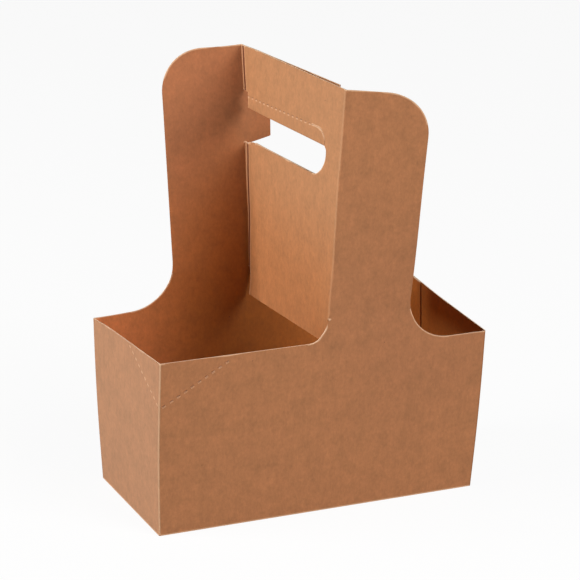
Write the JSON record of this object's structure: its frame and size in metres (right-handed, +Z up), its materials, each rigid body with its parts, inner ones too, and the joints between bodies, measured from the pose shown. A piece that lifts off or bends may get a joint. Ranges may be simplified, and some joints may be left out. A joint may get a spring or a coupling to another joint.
{
  "type": "cardboard cup carrier",
  "caption": "Folded kraft board carrier: an open sleeve with a flat base, and a tall handle whose panels fold into a divider with a hand hole.",
  "frame": {"origin": "middle of the base's underside, on the surface that the carrier stands on", "axes": "+X along the carrier's long side to the right, +Y to the back, +Z up"},
  "size_m": [0.2102, 0.155, 0.262],
  "materials": {
    "kraft_board": "uncoated brown kraft board, matt, with faint fibres"
  },
  "bodies": {
    "root": {"cup_carrier": "kraft_board"}
  },
  "joints": []
}
